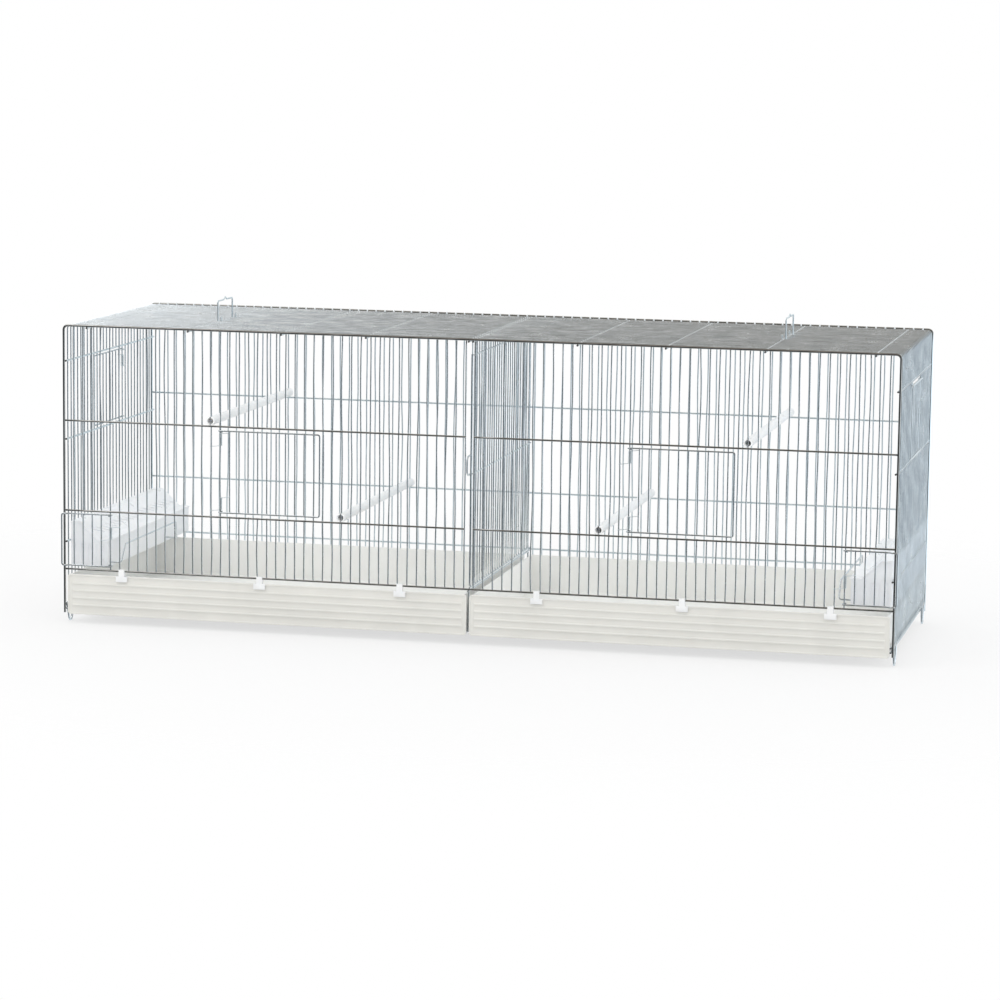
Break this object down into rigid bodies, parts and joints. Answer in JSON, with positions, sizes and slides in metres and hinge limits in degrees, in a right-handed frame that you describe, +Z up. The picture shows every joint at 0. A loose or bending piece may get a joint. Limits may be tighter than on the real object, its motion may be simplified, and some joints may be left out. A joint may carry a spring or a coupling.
{
  "type": "breeding bird cage",
  "caption": "Long welded-wire breeding cage on wire feet, with a slide-out divider, sprung wire doors, pull-out trays, tube perches, lidded seed troughs and folding roof handles.",
  "frame": {"origin": "on the floor, under the middle of the outer box", "axes": "+X along the front from left to right, +Y from the front to the back, +Z up"},
  "size_m": [1.183, 0.393, 0.4553],
  "materials": {
    "zinc_wire": "bright zinc plating",
    "spring_steel": "plated spring wire",
    "white_plastic": "satin",
    "lid_plastic": "satin",
    "feeder_plastic": "satin",
    "tray_plastic": "satin"
  },
  "bodies": {
    "cage": {"front_frame": "zinc_wire", "back_frame": "zinc_wire", "front_wires_left": "zinc_wire", "front_wires_right": "zinc_wire", "front_rails": "zinc_wire", "front_bottom_rail": "zinc_wire", "back_wires": "zinc_wire", "back_rails": "zinc_wire", "roof_wires": "zinc_wire", "roof_bends": "zinc_wire", "roof_cross_wires": "zinc_wire", "divider_guides": "zinc_wire", "left_side_wires": "zinc_wire", "left_side_cross_wires": "zinc_wire", "left_tray_runner": "zinc_wire", "right_side_wires": "zinc_wire", "right_side_cross_wires": "zinc_wire", "right_tray_runner": "zinc_wire", "front_left_foot": "zinc_wire", "front_right_foot": "zinc_wire", "back_left_foot": "zinc_wire", "back_right_foot": "zinc_wire", "middle_tray_support": "zinc_wire", "left_main_upper_spring": "spring_steel", "left_main_lower_spring": "spring_steel", "right_main_upper_spring": "spring_steel", "right_main_lower_spring": "spring_steel", "left_feeder_spring": "spring_steel", "right_feeder_spring": "spring_steel", "left_side_spring": "spring_steel", "right_side_spring": "spring_steel", "upper_left_perch": "white_plastic", "lower_left_perch": "white_plastic", "lower_right_perch": "white_plastic", "upper_right_perch": "white_plastic", "left_feeder": "feeder_plastic", "right_feeder": "feeder_plastic", "left_feeder_lid": "lid_plastic", "right_feeder_lid": "lid_plastic", "left_feeder_perch": "zinc_wire", "right_feeder_perch": "zinc_wire"},
    "left_main_door": {"left_main_door": "zinc_wire"},
    "right_main_door": {"right_main_door": "zinc_wire"},
    "left_feeder_door": {"left_feeder_door": "zinc_wire"},
    "right_feeder_door": {"right_feeder_door": "zinc_wire"},
    "left_side_door": {"left_side_door": "zinc_wire"},
    "right_side_door": {"right_side_door": "zinc_wire"},
    "left_handle": {"left_handle": "zinc_wire"},
    "right_handle": {"right_handle": "zinc_wire"},
    "divider": {"divider": "zinc_wire", "divider_cross_wires": "zinc_wire", "divider_pull": "zinc_wire"},
    "left_tray": {"left_tray": "tray_plastic", "left_tray_clip_1": "white_plastic", "left_tray_clip_2": "white_plastic", "left_tray_clip_3": "white_plastic"},
    "right_tray": {"right_tray": "tray_plastic", "right_tray_clip_1": "white_plastic", "right_tray_clip_2": "white_plastic", "right_tray_clip_3": "white_plastic"}
  },
  "joints": [
    {"name": "left_main_door_hinge", "type": "hinge", "parent": "cage", "child": "left_main_door", "pos_m": [-0.35775, -0.18202, 0.2255], "axis": [0, 0, -1], "range_deg": [0, 110], "stiffness_Nm_per_rad": 0.05, "springref_deg": -34.38, "deforming": ["left_main_upper_spring", "left_main_lower_spring"]},
    {"name": "right_main_door_hinge", "type": "hinge", "parent": "cage", "child": "right_main_door", "pos_m": [0.22275, -0.18202, 0.2255], "axis": [0, 0, -1], "range_deg": [0, 110], "stiffness_Nm_per_rad": 0.05, "springref_deg": -34.38, "deforming": ["right_main_upper_spring", "right_main_lower_spring"]},
    {"name": "left_feeder_door_hinge", "type": "hinge", "parent": "cage", "child": "left_feeder_door", "pos_m": [-0.51975, -0.18202, 0.12015], "axis": [0, 0, 1], "range_deg": [0, 110], "stiffness_Nm_per_rad": 0.025, "springref_deg": -34.38, "deforming": ["left_feeder_spring"]},
    {"name": "right_feeder_door_hinge", "type": "hinge", "parent": "cage", "child": "right_feeder_door", "pos_m": [0.51975, -0.18202, 0.12015], "axis": [0, 0, -1], "range_deg": [0, 110], "stiffness_Nm_per_rad": 0.025, "springref_deg": -34.38, "deforming": ["right_feeder_spring"]},
    {"name": "left_side_door_hinge", "type": "hinge", "parent": "cage", "child": "left_side_door", "pos_m": [-0.58655, 0.05826, 0.317], "axis": [0, 0, -1], "range_deg": [0, 110], "stiffness_Nm_per_rad": 0.025, "springref_deg": -34.38, "deforming": ["left_side_spring"]},
    {"name": "right_side_door_hinge", "type": "hinge", "parent": "cage", "child": "right_side_door", "pos_m": [0.58655, 0.05826, 0.317], "axis": [0, 0, 1], "range_deg": [0, 110], "stiffness_Nm_per_rad": 0.025, "springref_deg": -34.38, "deforming": ["right_side_spring"]},
    {"name": "left_tray_slide", "type": "slide", "parent": "cage", "child": "left_tray", "axis": [0, -1, 0], "range_m": [0, 0.34]},
    {"name": "right_tray_slide", "type": "slide", "parent": "cage", "child": "right_tray", "axis": [0, -1, 0], "range_m": [0, 0.34]},
    {"name": "divider_slide", "type": "slide", "parent": "cage", "child": "divider", "axis": [0, -1, 0], "range_m": [0, 0.36]},
    {"name": "left_handle_hinge", "type": "hinge", "parent": "cage", "child": "left_handle", "pos_m": [-0.405, 0, 0.41998], "axis": [0, 1, 0], "range_deg": [-75, 75]},
    {"name": "right_handle_hinge", "type": "hinge", "parent": "cage", "child": "right_handle", "pos_m": [0.405, 0, 0.41998], "axis": [0, 1, 0], "range_deg": [-75, 75]}
  ]
}
